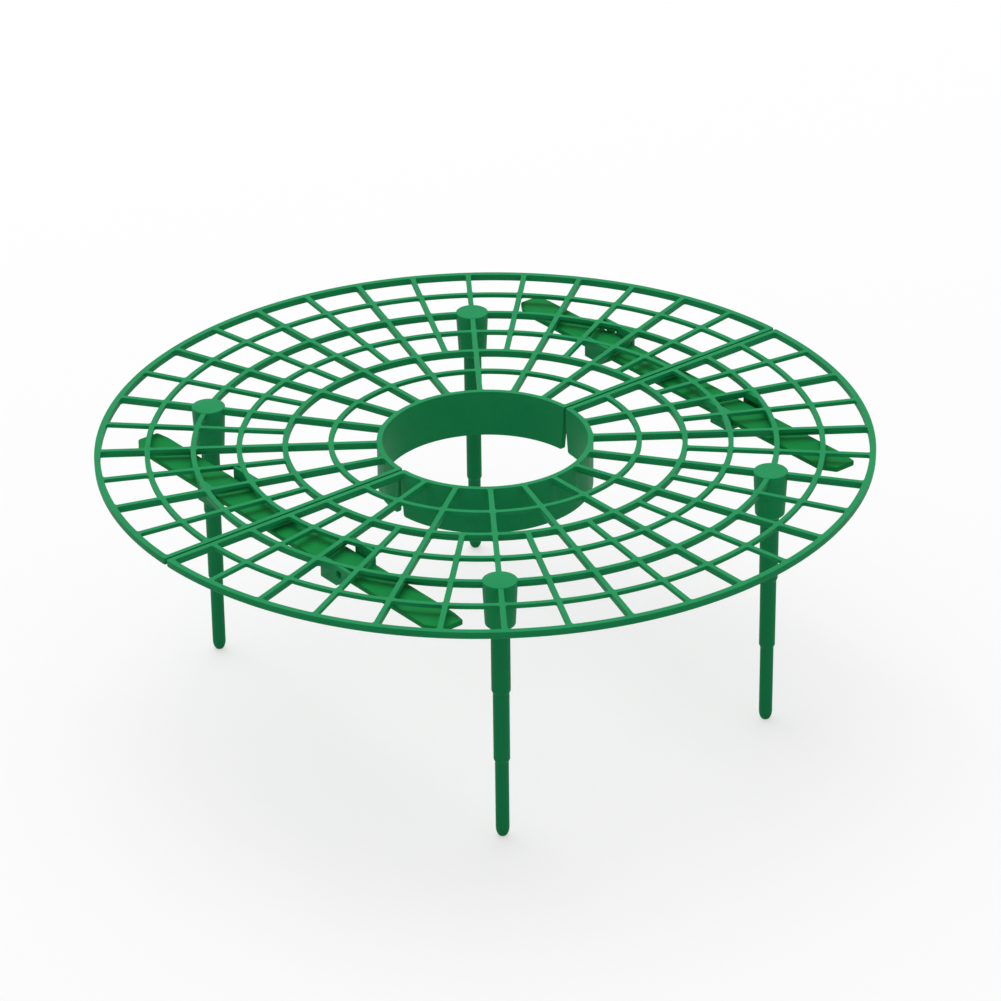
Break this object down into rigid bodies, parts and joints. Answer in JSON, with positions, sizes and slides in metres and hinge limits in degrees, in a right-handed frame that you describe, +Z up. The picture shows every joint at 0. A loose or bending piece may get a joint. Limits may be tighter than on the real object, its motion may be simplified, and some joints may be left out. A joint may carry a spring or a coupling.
{
  "type": "strawberry plant support",
  "caption": "Round open grid in halves on push-in stakes, with a central collar, that holds a strawberry plant's leaves and fruit clear of the soil.",
  "frame": {"origin": "on the ground under the centre of the collar, at the level of the stakes' tips", "axes": "+Z up, out of the grid's flat top; X along the seam between the halves; the back half lies on +Y and the front half on -Y"},
  "size_m": [0.3, 0.3, 0.1092],
  "materials": {
    "grid_green": "satin moulded polypropylene, mid green",
    "bar_green": "satin moulded polypropylene, slightly yellower green",
    "stake_green": "satin moulded polypropylene, mid green"
  },
  "bodies": {
    "back_half": {"back_grid_half": "grid_green"},
    "front_half": {"front_grid_half": "grid_green"},
    "left_bar": {"joining_bar_left": "bar_green"},
    "right_bar": {"joining_bar_right": "bar_green"},
    "back_left_stake": {"stake_back_left": "stake_green"},
    "back_right_stake": {"stake_back_right": "stake_green"},
    "front_left_stake": {"stake_front_left": "stake_green"},
    "front_right_stake": {"stake_front_right": "stake_green"}
  },
  "joints": [
    {"name": "front_half_pull", "type": "slide", "parent": "back_half", "child": "front_half", "axis": [0, -1, 0], "range_m": [0, 0.075]},
    {"name": "left_bar_slide", "type": "slide", "parent": "back_half", "child": "left_bar", "axis": [0, 1, 0], "range_m": [-0.153, 0.153]},
    {"name": "right_bar_slide", "type": "slide", "parent": "back_half", "child": "right_bar", "axis": [0, 1, 0], "range_m": [-0.153, 0.153]},
    {"name": "back_left_stake_pull", "type": "slide", "parent": "back_half", "child": "back_left_stake", "axis": [0, 0, -1], "range_m": [0, 0.012]},
    {"name": "back_right_stake_pull", "type": "slide", "parent": "back_half", "child": "back_right_stake", "axis": [0, 0, -1], "range_m": [0, 0.012]},
    {"name": "front_left_stake_pull", "type": "slide", "parent": "front_half", "child": "front_left_stake", "axis": [0, 0, -1], "range_m": [0, 0.012]},
    {"name": "front_right_stake_pull", "type": "slide", "parent": "front_half", "child": "front_right_stake", "axis": [0, 0, -1], "range_m": [0, 0.012]}
  ]
}
